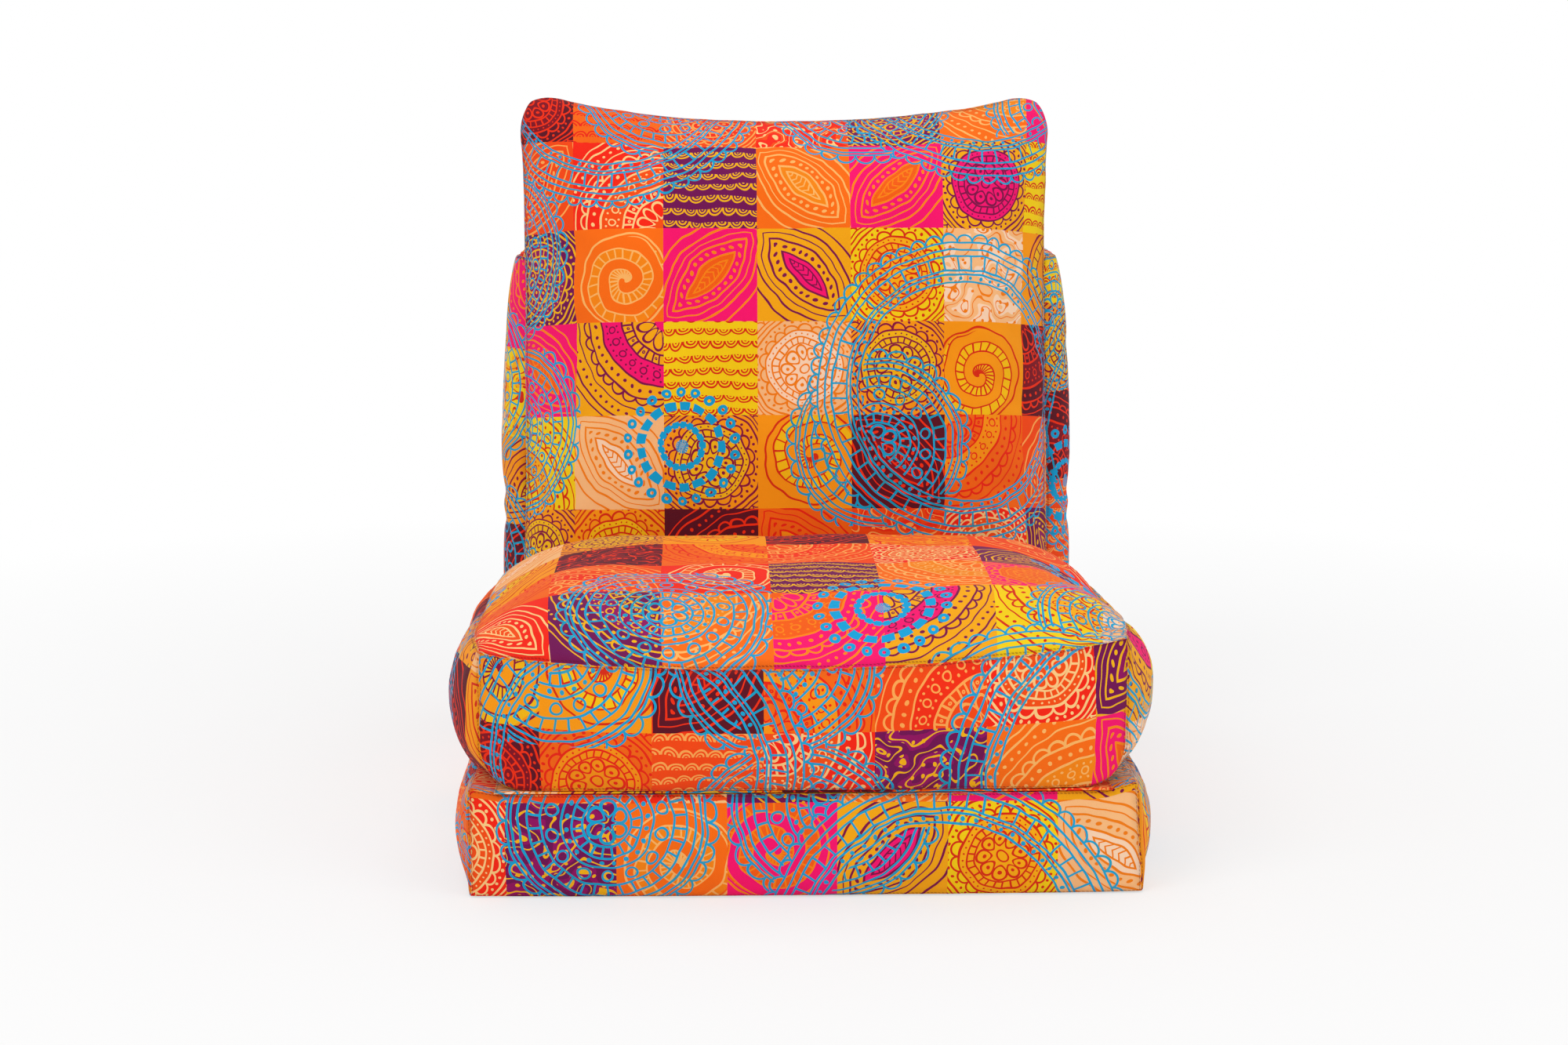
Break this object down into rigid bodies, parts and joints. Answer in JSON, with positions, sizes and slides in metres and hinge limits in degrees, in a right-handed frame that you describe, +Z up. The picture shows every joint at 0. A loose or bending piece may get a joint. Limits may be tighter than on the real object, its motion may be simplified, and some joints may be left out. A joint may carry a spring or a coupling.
{
  "type": "convertible armchair",
  "caption": "Low armless foam chair in patchwork cloth: base, fold-over seat, upright back and loose pillow; the seat flips forward and the back lies down to make a floor bed.",
  "frame": {"origin": "bottom centre of the whole chair, on the floor", "axes": "+Z up, the chair faces -Y, +X to the right of someone looking at its front"},
  "size_m": [0.6694, 0.835, 0.708],
  "materials": {
    "printed_cloth": "printed cotton in patchwork squares",
    "underside_cloth": "dark non-slip cloth",
    "strip_cloth": "printed cotton, doubled",
    "foam": "open-cell foam slab",
    "wadding": "bonded fibre wrap",
    "fibre_fill": "loose fibre fill",
    "zip_tape": "woven tape with a coil chain",
    "zip_metal": "nickel-plated zip metal"
  },
  "bodies": {
    "base": {"base_foam": "foam", "base_wadding": "wadding", "base_top_panel": "printed_cloth", "base_left_border": "printed_cloth", "base_right_border": "printed_cloth", "base_front_border": "printed_cloth", "base_rear_border": "printed_cloth", "base_underside": "underside_cloth", "base_zip": "zip_tape", "front_hinge_strip": "strip_cloth", "rear_hinge_strip": "strip_cloth"},
    "seat": {"seat_foam": "foam", "seat_wadding": "wadding", "seat_top_panel": "printed_cloth", "seat_left_border": "printed_cloth", "seat_right_border": "printed_cloth", "seat_front_border": "printed_cloth", "seat_rear_border": "printed_cloth", "seat_bottom_panel": "printed_cloth", "seat_zip": "zip_tape"},
    "back": {"back_foam": "foam", "back_wadding": "wadding", "back_front_panel": "printed_cloth", "back_rear_panel": "printed_cloth", "back_left_border": "printed_cloth", "back_right_border": "printed_cloth", "back_top_border": "printed_cloth", "back_bottom_border": "printed_cloth", "back_zip": "zip_tape"},
    "pillow": {"pillow_fill": "fibre_fill", "pillow_front_panel": "printed_cloth", "pillow_rear_panel": "printed_cloth", "pillow_zip": "zip_tape"},
    "base_slider": {"base_zip_slider": "zip_metal"},
    "base_pull": {"base_zip_pull": "zip_metal"},
    "seat_slider": {"seat_zip_slider": "zip_metal"},
    "seat_pull": {"seat_zip_pull": "zip_metal"},
    "back_slider": {"back_zip_slider": "zip_metal"},
    "back_pull": {"back_zip_pull": "zip_metal"},
    "pillow_slider": {"pillow_zip_slider": "zip_metal"},
    "pillow_pull": {"pillow_zip_pull": "zip_metal"}
  },
  "joints": [
    {"name": "seat_flip", "type": "hinge", "parent": "base", "child": "seat", "pos_m": [0, -0.41448, 0.1355], "axis": [1, 0, 0], "range_deg": [0, 180]},
    {"name": "back_recline", "type": "hinge", "parent": "base", "child": "back", "pos_m": [0, 0.40548, 0.0125], "axis": [-1, 0, 0], "range_deg": [0, 90]},
    {"name": "pillow_lift", "type": "slide", "parent": "back", "child": "pillow", "axis": [0, 0, 1], "range_m": [0, 0.45]},
    {"name": "base_zip_slide", "type": "slide", "parent": "base", "child": "base_slider", "axis": [0, -1, 0], "range_m": [0, 0.277]},
    {"name": "base_pull_swing", "type": "hinge", "parent": "base_slider", "child": "base_pull", "pos_m": [0.33395, 0.074, 0.0485], "axis": [0, 0, 1], "range_deg": [0, 175]},
    {"name": "seat_zip_slide", "type": "slide", "parent": "seat", "child": "seat_slider", "axis": [1, 0, 0], "range_m": [0, 0.277]},
    {"name": "seat_pull_swing", "type": "hinge", "parent": "seat_slider", "child": "seat_pull", "pos_m": [-0.1385, 0.10347, 0.13752], "axis": [0, 0, 1], "range_deg": [0, 175]},
    {"name": "back_zip_slide", "type": "slide", "parent": "back", "child": "back_slider", "axis": [1, 0, 0], "range_m": [0, 0.277]},
    {"name": "back_pull_swing", "type": "hinge", "parent": "back_slider", "child": "back_pull", "pos_m": [-0.1385, 0.34548, 0.54675], "axis": [0, -1, 0], "range_deg": [0, 175]},
    {"name": "pillow_zip_slide", "type": "slide", "parent": "pillow", "child": "pillow_slider", "axis": [-1, 0, 0], "range_m": [0, 0.277]},
    {"name": "pillow_pull_swing", "type": "hinge", "parent": "pillow_slider", "child": "pillow_pull", "pos_m": [0.1385, 0.16309, 0.12328], "axis": [0, 0.1736, 0.9848], "range_deg": [0, 175]}
  ]
}
